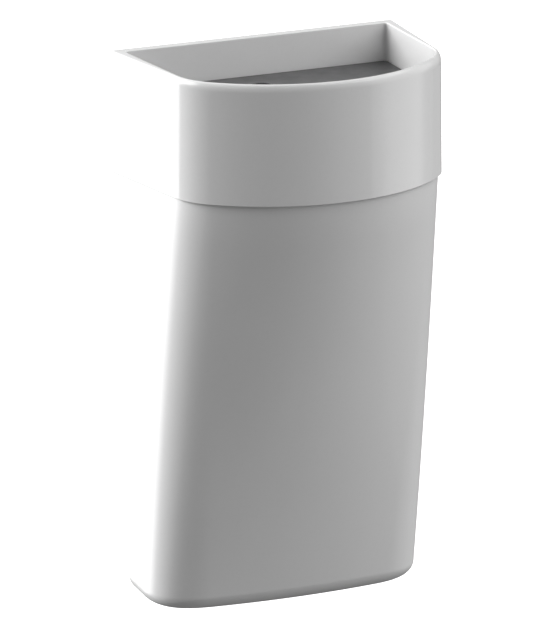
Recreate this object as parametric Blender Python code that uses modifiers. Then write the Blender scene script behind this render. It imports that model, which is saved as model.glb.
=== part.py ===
"""Wall-hung dog waste bin: a tub that hooks on a wall plate, with a lift-off collar, a flap and a bag ring.

Metres, +Z up, wall plane at y = 0, front towards -Y. The origin is the middle of the wall plate's back face.
Heights named below are measured from the tub's base, which lies HANG_HEIGHT under the origin.
"""
from collections import namedtuple
from math import asin, atan, cos, pi, radians, sin

import bpy
import bmesh
from mathutils import Vector

# ---------------------------------------------------------------- driving dimensions
HEIGHT = 0.600
HANG_HEIGHT = 0.380
GAP = 0.0003

# A D-shaped outline in plan: a flat back at back_y from -back_half to +back_half, straight sides to the
# virtual corners at (corner_half, -corner_y), and a bowed front that bulges by bow between those corners.
# front_run and back_run are how far the rounding reaches from a virtual corner.
Plan = namedtuple("Plan", "back_y back_half corner_half corner_y bow front_run back_run")

TUB_BASE = Plan(-0.0032, 0.150, 0.163, 0.108, 0.0145, 0.060, 0.010)
TUB_SHOULDER = Plan(-0.0032, 0.166, 0.150, 0.158, 0.0715, 0.032, 0.006)
TUB_NECK = Plan(-0.0032, 0.1646, 0.1486, 0.1566, 0.0715, 0.032, 0.006)
TUB_WALL = 0.003
TUB_BASE_ROUND = 0.018
SHOULDER_HEIGHT = 0.467
TUB_HEIGHT = 0.5460

COLLAR_FOOT = Plan(-0.0005, 0.1687, 0.1525, 0.161, 0.072, 0.030, 0.006)
COLLAR_BOTTOM = 0.469
COLLAR_TAPER = 0.0010
COLLAR_SKIN = 0.0022
COLLAR_BACK_INSIDE = -0.0027
RIM_START = 0.591
RIM_WIDTH = 0.0050
RIM_INNER_ROUND = 0.0013
MOUTH_BACK = -0.0130
MOUTH_BACK_HALF = 0.1545
MOUTH_BACK_RUN = 0.0045
LEDGE_TOP = 0.549
LEDGE_BOTTOM = 0.5465
LEDGE_WIDTH = 0.0095
LEDGE_BACK = -0.0137
CORNER_FLAT_MIDDLE = (0.1382, -0.1748)
CORNER_FLAT_TURN = radians(44.8)
CORNER_FLAT_TOP = 0.5895
CORNER_CUTTER_WIDTH = 0.060
EDGE_BREAK = 0.0007
COLLAR_MIDDLE = 0.530
COLLAR_WEB = 0.003
CHANNEL_WIDTH = 0.300
CHANNEL_HEIGHT = 0.052
RIM_BACK_ROLL = 0.003

FLAP_TOP = 0.5588
FLAP_EDGE = 0.0008
FLAP_AXIS_Y = -0.0180
FLAP_AXIS_HEIGHT = 0.555
FLAP_BARREL_RADIUS = 0.004
FLAP_BARREL_HALF = 0.1500
FLAP_SKIN = 0.003
FLAP_LIP = 0.0025
FLAP_LIP_DEPTH = 0.0068
FLAP_SIDE_GAP = 0.0016
LEDGE_TO_LIP = FLAP_TOP - FLAP_LIP_DEPTH - LEDGE_TOP
FLAP_HOLE_RADIUS = 0.0095
FLAP_HOLE_CENTRE = (-0.015, -0.058)

PIN_RADIUS = 0.002
PIN_LENGTH = 0.026
BUSH_RADIUS = 0.0033
BUSH_START = 0.1541
BUSH_END = 0.1576
BUFFER_RADIUS = 0.004
BUFFER_INSET = 0.005

PLATE_WIDTH = 0.220
PLATE_HEIGHT = 0.100
PLATE_THICKNESS = 0.0025
PLATE_CORNER = 0.008
PLATE_HOLE_RADIUS = 0.00325
PLATE_HOLE_X = 0.092
PLATE_HOLE_Z = 0.034
HOOK_X = 0.055
HOOK_WIDTH = 0.024
HOOK_HEIGHT = 0.400
HOOK_THICKNESS = 0.002
HOOK_REACH = 0.0106
HOOK_RISE = 0.014
HOOK_TIP_CHAMFER = 0.0007
SLOT_WIDTH = 0.030
SLOT_DROP = 0.0205

HANGER_WIDTH = 0.178
HANGER_HEIGHT = 0.062
HANGER_THICKNESS = 0.0015
HANGER_Z = 0.394
HANGER_RIVET_X = 0.081
HANGER_RIVET_Z = 0.022

RING_HEIGHT = 0.528
RING_RADIUS = 0.0025
RING_AXIS_Y = -0.0132
RING_INSET = 0.012
CLIP_X = 0.080
CLIP_WIDTH = 0.014
CLIP_THICKNESS = 0.0015
CLIP_RIVET_OFFSET = 0.011
CLIP_END = 0.005
DRAIN_RADIUS = 0.004
DRAIN_X = 0.080
DRAIN_Y = (-0.040, -0.080)

RIVET_SHANK = 0.002
RIVET_HEAD = 0.0035
RIVET_HEAD_DEPTH = 0.0015
RIVET_GRIP = TUB_WALL + HANGER_THICKNESS + 2 * GAP
RIVET_DOME = [(0.0040, 0.0), (0.0034, 0.0010), (0.0018, 0.0016), (0.0, 0.0018)]

ROUND_STEPS = 24
SMALL_ROUND_STEPS = 16
CUTTER_DEPTH = 0.020
CUTTER_OVERLAP = 0.005


# ---------------------------------------------------------------- scene and materials
def clear_scene():
    for scene_object in list(bpy.data.objects):
        bpy.data.objects.remove(scene_object, do_unlink=True)


def collection(name):
    group = bpy.data.collections.new(name)
    bpy.context.scene.collection.children.link(group)
    return group


clear_scene()
PARTS = collection("dog_waste_bin")
CUTTERS = collection("cutters")


def finish(name, colour, roughness, metallic=0.0):
    made = bpy.data.materials.new(name)
    made.use_nodes = True
    shader = made.node_tree.nodes["Principled BSDF"]
    shader.inputs["Base Color"].default_value = (*colour, 1.0)
    shader.inputs["Roughness"].default_value = roughness
    shader.inputs["Metallic"].default_value = metallic
    return made


FINISH_VALUES = {
    "white_gloss": ((0.90, 0.90, 0.90), 0.18, 0.0),
    "white_satin": ((0.88, 0.88, 0.88), 0.32, 0.0),
    "dark_grey": ((0.10, 0.10, 0.105), 0.45, 0.0),
    "zinc_steel": ((0.62, 0.63, 0.64), 0.38, 1.0),
    "stainless": ((0.66, 0.66, 0.66), 0.25, 1.0),
    "nylon": ((0.72, 0.71, 0.66), 0.50, 0.0),
    "black_rubber": ((0.03, 0.03, 0.03), 0.80, 0.0),
}


def give_finish(piece, kind):
    """Each piece has a material of its own, so one can be changed without the others."""
    piece.data.materials.clear()
    piece.data.materials.append(finish(piece.name + "_finish", *FINISH_VALUES[kind]))


def empty(name, location):
    anchor = bpy.data.objects.new(name, None)
    anchor.location = location
    PARTS.objects.link(anchor)
    return anchor


BASE = empty("base_level", (0.0, 0.0, -HANG_HEIGHT))
FLAP_AXIS = empty("flap_axis", (0.0, FLAP_AXIS_Y, FLAP_AXIS_HEIGHT - HANG_HEIGHT))
RING_AXIS = empty("bag_ring_axis", (0.0, RING_AXIS_Y, RING_HEIGHT - HANG_HEIGHT))


def place(piece, parent, location=(0.0, 0.0, 0.0), rotation=(0.0, 0.0, 0.0)):
    piece.parent = parent
    piece.location = location
    piece.rotation_euler = rotation


def smooth(piece, angle=35.0):
    piece.data.shade_smooth()
    piece.data.set_sharp_from_angle(angle=radians(angle))


def as_cutter(piece):
    for group in piece.users_collection:
        group.objects.unlink(piece)
    CUTTERS.objects.link(piece)
    piece.hide_render = True
    piece.display_type = "WIRE"
    return piece


def boolean(piece, other, operation="DIFFERENCE"):
    modifier = piece.modifiers.new(other.name, "BOOLEAN")
    modifier.object = other
    modifier.operation = operation
    modifier.solver = "EXACT"


# ---------------------------------------------------------------- shapes
def mesh_object(name, mesh):
    piece = bpy.data.objects.new(name, mesh)
    PARTS.objects.link(piece)
    return piece


def box(name, size, centre=(0.0, 0.0, 0.0)):
    shape = bmesh.new()
    bmesh.ops.create_cube(shape, size=1.0)
    for vertex in shape.verts:
        vertex.co = Vector(a * b for a, b in zip(vertex.co, size)) + Vector(centre)
    mesh = bpy.data.meshes.new(name)
    shape.to_mesh(mesh)
    shape.free()
    return mesh_object(name, mesh)


def cylinder(name, radius, length, steps=ROUND_STEPS):
    """A cylinder along its own Z, centred on its origin."""
    shape = bmesh.new()
    bmesh.ops.create_cone(shape, cap_ends=True, segments=steps, radius1=radius, radius2=radius, depth=length)
    mesh = bpy.data.meshes.new(name)
    shape.to_mesh(mesh)
    shape.free()
    return mesh_object(name, mesh)


def turned(name, profile, steps=ROUND_STEPS):
    """A profile of (radius, height), top to bottom, turned about the piece's own Z."""
    mesh = bpy.data.meshes.new(name)
    mesh.from_pydata([(r, 0.0, z) for r, z in profile], [(i, i + 1) for i in range(len(profile) - 1)], [])
    piece = mesh_object(name, mesh)
    screw = piece.modifiers.new("turn", "SCREW")
    screw.steps = steps
    screw.render_steps = steps
    screw.use_merge_vertices = True
    screw.merge_threshold = 0.00002
    return piece


def flat_outline(name, points, thickness):
    """A closed outline of (x, y) points, thickness deep and centred on its own plane."""
    curve = bpy.data.curves.new(name, "CURVE")
    curve.dimensions = "2D"
    curve.fill_mode = "BOTH"
    curve.extrude = thickness / 2
    spline = curve.splines.new("POLY")
    spline.points.add(len(points) - 1)
    for point, (x, y) in zip(spline.points, points):
        point.co = (x, y, 0.0, 1.0)
    spline.use_cyclic_u = True
    return as_mesh(mesh_object(name, curve))


def as_mesh(curve_object):
    name = curve_object.name
    matrix = curve_object.matrix_world.copy()
    graph = bpy.context.evaluated_depsgraph_get()
    mesh = bpy.data.meshes.new_from_object(curve_object.evaluated_get(graph))
    bpy.data.objects.remove(curve_object, do_unlink=True)
    shape = bmesh.new()
    shape.from_mesh(mesh)
    bmesh.ops.remove_doubles(shape, verts=shape.verts, dist=0.00001)
    bmesh.ops.recalc_face_normals(shape, faces=shape.faces)
    shape.to_mesh(mesh)
    shape.free()
    mesh.name = name
    piece = mesh_object(name, mesh)
    piece.matrix_world = matrix
    return piece


def rounding(start, corner, end, steps):
    """Points along a smooth turn from start to end, tangent to both lines through corner."""
    points = []
    for i in range(steps + 1):
        t = i / steps
        points.append(start * (1 - t) ** 2 + corner * 2 * t * (1 - t) + end * t ** 2)
    return points


def plan_outline(plan):
    """The closed outline of a plan, as 2D vectors from the middle of the back round by +X."""
    radius = (plan.corner_half ** 2 + plan.bow ** 2) / (2 * plan.bow)
    arc_centre = Vector((0.0, -plan.corner_y - plan.bow + radius))
    arc_end = asin(plan.corner_half / radius) - plan.front_run / radius
    back = Vector((plan.back_half, plan.back_y))
    side = (Vector((plan.corner_half, -plan.corner_y)) - back).normalized()

    front_end = arc_centre + Vector((sin(arc_end), -cos(arc_end))) * radius
    tangent = Vector((cos(arc_end), sin(arc_end)))
    reach = (back - front_end).cross(side) / tangent.cross(side)
    corner = front_end + tangent * reach

    half = [Vector((0.0, plan.back_y))]
    half += rounding(back - Vector((plan.back_run, 0.0)), back, back + side * plan.back_run, 5)
    side_start = half[-1]
    side_end = corner - side * reach
    half += [side_start.lerp(side_end, i / 4) for i in range(1, 4)]
    half += rounding(side_end, corner, front_end, 9)
    half += [arc_centre + Vector((sin(arc_end * t), -cos(arc_end * t))) * radius
             for t in (1 - i / 8 for i in range(1, 9))]
    mirrored = [Vector((-point.x, point.y)) for point in reversed(half[1:-1])]
    return half + mirrored


def inset(plan, distance, back_y=None):
    """The same plan moved inwards by distance; the back goes to back_y, or inwards too."""
    return plan._replace(
        back_y=plan.back_y - distance if back_y is None else back_y,
        back_half=plan.back_half - distance,
        corner_half=plan.corner_half - distance,
        corner_y=plan.corner_y - distance,
        front_run=plan.front_run - distance * 0.6,
        back_run=max(plan.back_run - distance * 0.5, 0.003),
    )


def blend(low, high, t):
    return Plan(*(a + (b - a) * t for a, b in zip(low, high)))


def loft(name, rings, joined_ends=False, caps=(False, False)):
    """A skin through plans at heights, each ring a (plan, height) pair."""
    shape = bmesh.new()
    rows = []
    for plan, height in rings:
        rows.append([shape.verts.new((p.x, p.y, height)) for p in plan_outline(plan)])
    pairs = list(zip(rows, rows[1:]))
    if joined_ends:
        pairs.append((rows[-1], rows[0]))
    count = len(rows[0])
    for low, high in pairs:
        for i in range(count):
            shape.faces.new((low[i], low[(i + 1) % count], high[(i + 1) % count], high[i]))
    for row, wanted in zip((rows[0], rows[-1]), caps):
        if wanted:
            shape.faces.new(row)
    bmesh.ops.recalc_face_normals(shape, faces=shape.faces)
    mesh = bpy.data.meshes.new(name)
    shape.to_mesh(mesh)
    shape.free()
    return mesh_object(name, mesh)


# ---------------------------------------------------------------- tub
def tub_plan(height):
    if height <= SHOULDER_HEIGHT:
        return blend(TUB_BASE, TUB_SHOULDER, height / SHOULDER_HEIGHT)
    return blend(TUB_SHOULDER, TUB_NECK, (height - SHOULDER_HEIGHT) / (TUB_HEIGHT - SHOULDER_HEIGHT))


def tub():
    rings = []
    for angle in (0, 18, 36, 54, 72, 90):
        height = TUB_BASE_ROUND * (1 - cos(radians(angle)))
        rings.append((inset(tub_plan(height), TUB_BASE_ROUND * (1 - sin(radians(angle)))), height))
    for height in (0.12, 0.24, 0.36, SHOULDER_HEIGHT, TUB_HEIGHT):
        rings.append((tub_plan(height), height))
    shell = loft("body_shell", rings, caps=(True, False))
    wall = shell.modifiers.new("wall", "SOLIDIFY")
    wall.thickness = TUB_WALL
    wall.offset = -1.0
    wall.use_even_offset = True
    for side in (-1, 1):
        slot_height = SLOT_DROP + GAP
        slot = box(f"slot_cutter_{side}", (SLOT_WIDTH, CUTTER_DEPTH, slot_height),
                   (side * HOOK_X, 0.0, HOOK_HEIGHT + GAP - slot_height / 2))
        place(as_cutter(slot), BASE)
        boolean(shell, slot)
    for x in (-DRAIN_X, DRAIN_X):
        for y in DRAIN_Y:
            drain = cylinder(f"drain_cutter_{x}_{y}", DRAIN_RADIUS, CUTTER_DEPTH, SMALL_ROUND_STEPS)
            place(as_cutter(drain), BASE, (x, y, 0.0))
            boolean(shell, drain)
    place(shell, BASE)
    smooth(shell)
    give_finish(shell, "white_satin")
    return shell


# ---------------------------------------------------------------- rivets through the tub's back
def rivet(name, x, height, clamped):
    """A flush rivet from the tub's outside, with its domed head on the inside, through the clamped pieces."""
    profile = [(0.0, 0.0), (RIVET_HEAD, 0.0), (RIVET_SHANK, -RIVET_HEAD_DEPTH), (RIVET_SHANK, -RIVET_GRIP)]
    profile += [(radius, -RIVET_GRIP - depth) for radius, depth in RIVET_DOME]
    piece = turned(name, profile, SMALL_ROUND_STEPS)
    hole_radius = RIVET_SHANK + GAP
    spread = 0.001
    hole_profile = [(0.0, spread), (RIVET_HEAD + GAP + spread, spread), (hole_radius, -RIVET_HEAD_DEPTH),
                    (hole_radius, -CUTTER_DEPTH / 2), (0.0, -CUTTER_DEPTH / 2)]
    hole = as_cutter(turned(name + "_hole", hole_profile, SMALL_ROUND_STEPS))
    for shape in (piece, hole):
        place(shape, BASE, (x, TUB_BASE.back_y, height), (-pi / 2, 0.0, 0.0))
    for other in clamped:
        boolean(other, hole)
    smooth(piece)
    give_finish(piece, "stainless")


# ---------------------------------------------------------------- hanging
def hanger_plate(shell):
    centre_y = TUB_BASE.back_y - TUB_WALL - GAP - HANGER_THICKNESS / 2
    plate = box("hanger_plate", (HANGER_WIDTH, HANGER_THICKNESS, HANGER_HEIGHT), (0.0, centre_y, HANGER_Z))
    for side in (-1, 1):
        boolean(plate, bpy.data.objects[f"slot_cutter_{side}"])
    place(plate, BASE)
    give_finish(plate, "zinc_steel")
    number = 1
    for x in (-HANGER_RIVET_X, HANGER_RIVET_X):
        for z in (-HANGER_RIVET_Z, HANGER_RIVET_Z):
            rivet(f"hanger_rivet_{number}", x, HANGER_Z + z, (shell, plate))
            number += 1


def wall_plate():
    plate = box("wall_plate", (PLATE_WIDTH, PLATE_THICKNESS, PLATE_HEIGHT), (0.0, -PLATE_THICKNESS / 2, 0.0))
    corners = plate.modifiers.new("corners", "BEVEL")
    corners.width = PLATE_CORNER
    corners.segments = 4
    corners.limit_method = "WEIGHT"
    weights = plate.data.attributes.new("bevel_weight_edge", "FLOAT", "EDGE")
    for edge in plate.data.edges:
        a, b = (plate.data.vertices[i].co for i in edge.vertices)
        across = abs(a.y - b.y) > PLATE_THICKNESS / 2
        weights.data[edge.index].value = 1.0 if across else 0.0
    shelf = HOOK_HEIGHT - HANG_HEIGHT
    under = shelf - HOOK_THICKNESS
    tip = shelf + HOOK_RISE
    root = -PLATE_THICKNESS / 2
    front = -HOOK_REACH
    behind = front + HOOK_THICKNESS
    cut = HOOK_TIP_CHAMFER
    hook_profile = [(root, under), (behind, under), (front + cut, under + cut), (front, shelf),
                    (front, tip - cut), (front + cut, tip), (behind - cut, tip), (behind, tip - cut),
                    (behind, shelf), (root, shelf)]
    for side in (-1, 1):
        hook = as_cutter(flat_outline(f"hook_{side}", hook_profile, HOOK_WIDTH))
        place(hook, None, (side * HOOK_X, 0.0, 0.0), (pi / 2, 0.0, pi / 2))
        boolean(plate, hook, "UNION")
    for x in (-PLATE_HOLE_X, PLATE_HOLE_X):
        for z in (-PLATE_HOLE_Z, PLATE_HOLE_Z):
            hole = as_cutter(cylinder(f"plate_hole_{x}_{z}", PLATE_HOLE_RADIUS, CUTTER_DEPTH))
            place(hole, None, (x, 0.0, z), (pi / 2, 0.0, 0.0))
            boolean(plate, hole)
    smooth(plate)
    give_finish(plate, "zinc_steel")


# ---------------------------------------------------------------- bag ring
def bag_ring():
    plan = inset(tub_plan(RING_HEIGHT), RING_INSET, RING_AXIS_Y)
    curve = bpy.data.curves.new("bag_ring", "CURVE")
    curve.dimensions = "3D"
    curve.bevel_depth = RING_RADIUS
    curve.bevel_resolution = 2
    spline = curve.splines.new("POLY")
    outline = plan_outline(plan)
    spline.points.add(len(outline) - 1)
    for point, place_2d in zip(spline.points, outline):
        point.co = (place_2d.x, place_2d.y - RING_AXIS_Y, 0.0, 1.0)
    spline.use_cyclic_u = True
    ring = mesh_object("bag_ring", curve)
    place(ring, RING_AXIS)
    give_finish(ring, "stainless")


def ring_clip(name, x, shell):
    """A strap bent over the ring's back wire, flat against the tub's back above and below it."""
    flat = TUB_BASE.back_y - TUB_WALL - GAP - RING_AXIS_Y
    inner = RING_RADIUS + GAP
    outer = inner + CLIP_THICKNESS
    reach = CLIP_RIVET_OFFSET + CLIP_END
    arc = [radians(a) for a in range(0, 181, 20)]
    outside = [(-outer * sin(a), outer * cos(a)) for a in arc]
    inside = [(-inner * sin(a), inner * cos(a)) for a in reversed(arc)]
    raised = flat - CLIP_THICKNESS
    outline = [(flat, reach), (raised, reach), (raised, outer)] + outside
    outline += [(raised, -outer), (raised, -reach), (flat, -reach), (flat, -inner)] + inside + [(flat, inner)]
    clip = flat_outline(name, outline, CLIP_WIDTH)
    place(clip, BASE, (x, RING_AXIS_Y, RING_HEIGHT), (pi / 2, 0.0, pi / 2))
    smooth(clip)
    give_finish(clip, "stainless")
    for number, offset in enumerate((-CLIP_RIVET_OFFSET, CLIP_RIVET_OFFSET), start=1):
        rivet(f"{name}_rivet_{number}", x, RING_HEIGHT + offset, (shell, clip))


# ---------------------------------------------------------------- collar
def collar_taper(height):
    return COLLAR_TAPER * (height - COLLAR_BOTTOM) / (RIM_START - COLLAR_BOTTOM)


def mouth_plan(extra=0.0, back_y=MOUTH_BACK):
    """The mouth moved inwards by extra; its sides run closer to parallel than the collar's own."""
    plan = inset(COLLAR_FOOT, COLLAR_TAPER + RIM_WIDTH + extra, back_y)
    return plan._replace(back_half=MOUTH_BACK_HALF - extra, back_run=MOUTH_BACK_RUN)


def collar_rings():
    back = COLLAR_FOOT.back_y
    rings = [(inset(COLLAR_FOOT, EDGE_BREAK, back - EDGE_BREAK / 2), COLLAR_BOTTOM),
             (COLLAR_FOOT, COLLAR_BOTTOM + EDGE_BREAK),
             (inset(COLLAR_FOOT, collar_taper(COLLAR_MIDDLE), back), COLLAR_MIDDLE)]
    roll = RIM_WIDTH - RIM_INNER_ROUND
    for angle in (0, 20, 40, 60, 76):
        turn = radians(angle)
        distance = COLLAR_TAPER + roll * (1 - cos(turn))
        height = RIM_START + (HEIGHT - RIM_START) * sin(turn)
        rings.append((inset(COLLAR_FOOT, distance, back - RIM_BACK_ROLL * (1 - cos(turn))), height))
    for angle in (0, 30, 60, 90):
        turn = radians(angle)
        outward = RIM_INNER_ROUND * (1 - sin(turn))
        rings.append((mouth_plan(-outward, MOUTH_BACK + outward), HEIGHT - RIM_INNER_ROUND * (1 - cos(turn))))
    rings.append((mouth_plan(), LEDGE_TOP))
    rings.append((mouth_plan(LEDGE_WIDTH, LEDGE_BACK), LEDGE_TOP))
    rings.append((mouth_plan(LEDGE_WIDTH, LEDGE_BACK), LEDGE_BOTTOM))
    skirt_top = collar_taper(LEDGE_BOTTOM) + COLLAR_SKIN
    rings.append((inset(COLLAR_FOOT, skirt_top, COLLAR_BACK_INSIDE), LEDGE_BOTTOM))
    rings.append((inset(COLLAR_FOOT, COLLAR_SKIN, COLLAR_BACK_INSIDE), COLLAR_BOTTOM))
    return rings


def collar():
    """The loose collar: a skin outside, a mouth wall inside, hollow between them at the back."""
    shell = loft("collar_shell", collar_rings(), joined_ends=True)

    channel_depth = COLLAR_BACK_INSIDE - MOUTH_BACK - COLLAR_WEB
    channel = box("back_channel", (CHANNEL_WIDTH, channel_depth, CHANNEL_HEIGHT))
    channel_middle = COLLAR_BACK_INSIDE - channel_depth / 2
    place(as_cutter(channel), BASE, (0.0, channel_middle, HEIGHT - COLLAR_WEB - CHANNEL_HEIGHT / 2))
    boolean(shell, channel)

    flat_height = CORNER_FLAT_TOP - COLLAR_BOTTOM
    flat = box("corner_flat", (CORNER_CUTTER_WIDTH, CUTTER_DEPTH, flat_height + 2 * CUTTER_OVERLAP),
               (0.0, -CUTTER_DEPTH / 2, flat_height / 2 - CUTTER_OVERLAP))
    lean = atan(COLLAR_TAPER / (RIM_START - COLLAR_BOTTOM))
    place(as_cutter(flat), BASE, (*CORNER_FLAT_MIDDLE, COLLAR_BOTTOM), (-lean, 0.0, CORNER_FLAT_TURN))
    boolean(shell, flat)

    seat_start = BUSH_START - CUTTER_DEPTH / 2
    seat_end = BUSH_END + GAP
    for side in (-1, 1):
        seat = as_cutter(cylinder(f"bush_seat_{side}", BUSH_RADIUS + GAP, seat_end - seat_start))
        seat_middle = (side * (seat_start + seat_end) / 2, FLAP_AXIS_Y, FLAP_AXIS_HEIGHT)
        place(seat, BASE, seat_middle, (0.0, pi / 2, 0.0))
        boolean(shell, seat)
    place(shell, BASE)
    smooth(shell)
    give_finish(shell, "white_gloss")


def flap_buffers():
    """Four pads on the ledge: two beside the front, two at the sides."""
    outline = plan_outline(mouth_plan(BUFFER_INSET))
    half = len(outline) // 2
    for number, index in enumerate((11, half - 5, half + 5, len(outline) - 11), start=1):
        pad = cylinder(f"flap_buffer_{number}", BUFFER_RADIUS, LEDGE_TO_LIP - 2 * GAP, SMALL_ROUND_STEPS)
        spot = outline[index]
        place(pad, BASE, (spot.x, spot.y, LEDGE_TOP + LEDGE_TO_LIP / 2))
        smooth(pad)
        give_finish(pad, "black_rubber")


def pivot_bush(name, side):
    bore = PIN_RADIUS + GAP
    profile = [(bore, BUSH_END), (BUSH_RADIUS, BUSH_END), (BUSH_RADIUS, BUSH_START), (bore, BUSH_START),
               (bore, BUSH_END)]
    bush = turned(name, profile)
    place(bush, BASE, (0.0, FLAP_AXIS_Y, FLAP_AXIS_HEIGHT), (0.0, side * pi / 2, 0.0))
    smooth(bush)
    give_finish(bush, "nylon")


# ---------------------------------------------------------------- flap
def flap():
    """The flap in its axis's own frame: a plate with a turned-down lip and a rolled back edge."""
    top = FLAP_TOP - FLAP_AXIS_HEIGHT
    edge = mouth_plan(FLAP_SIDE_GAP, FLAP_AXIS_Y)
    inner = inset(edge, FLAP_LIP, FLAP_AXIS_Y - FLAP_BARREL_RADIUS)
    rings = [(inner, top - FLAP_SKIN), (inner, top - FLAP_LIP_DEPTH), (edge, top - FLAP_LIP_DEPTH),
             (edge, top - FLAP_EDGE), (inset(edge, FLAP_EDGE, FLAP_AXIS_Y), top)]
    plate = loft("flap_plate", rings, caps=(True, True))
    for vertex in plate.data.vertices:
        vertex.co.y -= FLAP_AXIS_Y
    barrel = as_cutter(cylinder("flap_barrel", FLAP_BARREL_RADIUS, 2 * FLAP_BARREL_HALF))
    place(barrel, FLAP_AXIS, (0.0, 0.0, 0.0), (0.0, pi / 2, 0.0))
    boolean(plate, barrel, "UNION")
    hole = as_cutter(cylinder("finger_hole", FLAP_HOLE_RADIUS, CUTTER_DEPTH, 2 * SMALL_ROUND_STEPS))
    place(hole, FLAP_AXIS, (FLAP_HOLE_CENTRE[0], FLAP_HOLE_CENTRE[1] - FLAP_AXIS_Y, 0.0))
    boolean(plate, hole)
    pin_end = BUSH_END - GAP
    bore_length = PIN_LENGTH + CUTTER_OVERLAP
    for side, word in ((-1, "left"), (1, "right")):
        bore = as_cutter(cylinder(f"pin_bore_{word}", PIN_RADIUS + GAP, bore_length))
        bore_middle = side * (pin_end - PIN_LENGTH - GAP + bore_length / 2)
        place(bore, FLAP_AXIS, (bore_middle, 0.0, 0.0), (0.0, pi / 2, 0.0))
        boolean(plate, bore)
        pin = cylinder(f"flap_pin_{word}", PIN_RADIUS, PIN_LENGTH)
        place(pin, FLAP_AXIS, (side * (pin_end - PIN_LENGTH / 2), 0.0, 0.0), (0.0, pi / 2, 0.0))
        smooth(pin)
        give_finish(pin, "stainless")
    place(plate, FLAP_AXIS)
    smooth(plate)
    give_finish(plate, "dark_grey")


# ---------------------------------------------------------------- build
TUB = tub()
hanger_plate(TUB)
wall_plate()
bag_ring()
ring_clip("ring_clip_left", -CLIP_X, TUB)
ring_clip("ring_clip_right", CLIP_X, TUB)
collar()
flap_buffers()
pivot_bush("flap_bush_left", -1)
pivot_bush("flap_bush_right", 1)
flap()
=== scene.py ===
"""Looks of the wall-hung dog waste bin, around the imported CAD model.

Metres, +Z up, wall plane at y = 0, front towards -Y. Heights named below are measured from the tub's base,
which lies HANG_HEIGHT under the origin, as in the CAD source. The large smooth shells are built again here
from the same plans, with finer roundings, and stand for their CAD nodes.
"""
from collections import namedtuple
from math import asin, cos, pi, radians, sin

import bpy
import bmesh
from mathutils import Matrix, Vector


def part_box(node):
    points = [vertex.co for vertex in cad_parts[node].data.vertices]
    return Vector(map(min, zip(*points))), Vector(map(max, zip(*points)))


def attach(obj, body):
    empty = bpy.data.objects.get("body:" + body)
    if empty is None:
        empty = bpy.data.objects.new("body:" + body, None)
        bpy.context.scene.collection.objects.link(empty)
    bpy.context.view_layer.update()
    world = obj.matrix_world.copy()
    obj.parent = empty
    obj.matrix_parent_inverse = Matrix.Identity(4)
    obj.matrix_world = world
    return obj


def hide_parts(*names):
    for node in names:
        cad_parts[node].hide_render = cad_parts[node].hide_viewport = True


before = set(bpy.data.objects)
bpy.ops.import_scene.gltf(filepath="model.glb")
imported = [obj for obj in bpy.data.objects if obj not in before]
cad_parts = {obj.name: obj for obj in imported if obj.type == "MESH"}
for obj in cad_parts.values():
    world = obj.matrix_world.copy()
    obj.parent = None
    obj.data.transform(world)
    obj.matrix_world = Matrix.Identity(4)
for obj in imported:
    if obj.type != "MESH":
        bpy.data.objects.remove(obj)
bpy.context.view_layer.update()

# ---------------------------------------------------------------- dimensions, as in the CAD source
HEIGHT = 0.600
HANG_HEIGHT = 0.380

Plan = namedtuple("Plan", "back_y back_half corner_half corner_y bow front_run back_run")

TUB_BASE = Plan(-0.0032, 0.150, 0.163, 0.108, 0.0145, 0.060, 0.010)
TUB_SHOULDER = Plan(-0.0032, 0.166, 0.150, 0.158, 0.0715, 0.032, 0.006)
TUB_NECK = Plan(-0.0032, 0.1646, 0.1486, 0.1566, 0.0715, 0.032, 0.006)
TUB_WALL = 0.003
TUB_BASE_ROUND = 0.018
SHOULDER_HEIGHT = 0.467
TUB_HEIGHT = 0.5460
TUB_LIP_ROUND = 0.0012
DRAIN_RADIUS = 0.004
DRAIN_X = 0.080
DRAIN_Y = (-0.040, -0.080)

COLLAR_FOOT = Plan(-0.0005, 0.1687, 0.1525, 0.161, 0.072, 0.030, 0.006)
COLLAR_BOTTOM = 0.469
COLLAR_TAPER = 0.0010
COLLAR_SKIN = 0.0022
COLLAR_BACK_INSIDE = -0.0027
RIM_START = 0.591
RIM_WIDTH = 0.0050
RIM_INNER_ROUND = 0.0013
RIM_BACK_ROLL = 0.003
MOUTH_BACK = -0.0130
MOUTH_BACK_HALF = 0.1545
MOUTH_BACK_RUN = 0.0045
LEDGE_TOP = 0.549
LEDGE_BOTTOM = 0.5465
LEDGE_WIDTH = 0.0095
LEDGE_BACK = -0.0137
CORNER_FLAT_MIDDLE = Vector((0.1382, -0.1748))
CORNER_FLAT_TURN = radians(44.8)
CORNER_FLAT_TOP = 0.5895

FLAP_TOP = 0.5588
FLAP_AXIS_Y = -0.0180
FLAP_AXIS_HEIGHT = 0.555
FLAP_BARREL_RADIUS = 0.004
FLAP_BARREL_HALF = 0.150
FLAP_SKIN = 0.003
FLAP_LIP = 0.0025
FLAP_LIP_DEPTH = 0.0068
FLAP_SIDE_GAP = 0.0016
FLAP_HOLE_RADIUS = 0.0095
FLAP_HOLE_CENTRE = Vector((-0.015, -0.058))
PIN_RADIUS = 0.002
PIN_START = 0.1310
BUSH_RADIUS = 0.0036
BUSH_SEAT_START = 0.144
BUSH_SEAT_END = 0.1579

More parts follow.
